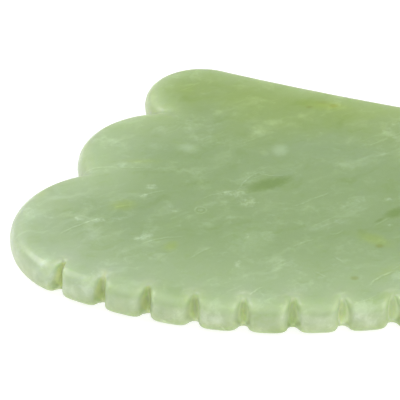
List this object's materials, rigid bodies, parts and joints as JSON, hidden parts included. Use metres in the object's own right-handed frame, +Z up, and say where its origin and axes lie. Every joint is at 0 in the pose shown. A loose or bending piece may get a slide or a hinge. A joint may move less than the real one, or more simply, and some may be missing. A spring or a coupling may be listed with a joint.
{
  "type": "gua sha scraper",
  "caption": "Flat pale green stone scraping plate with stepped lobes at one end, a toothed comb edge, a long hollow back edge and a rounded horn tip.",
  "frame": {"origin": "middle of the plate's length and width, on its underside", "axes": "+X along the length, from the stepped lobes to the horn tip; +Y across the width, from the comb edge to the hollow back edge; +Z up through the thickness"},
  "size_m": [0.0954, 0.0576, 0.0044],
  "materials": {
    "stone": "satin polished, slightly translucent pale green jade-like stone with cloudy mottling"
  },
  "bodies": {
    "root": {"stone_plate": "stone"}
  },
  "joints": []
}
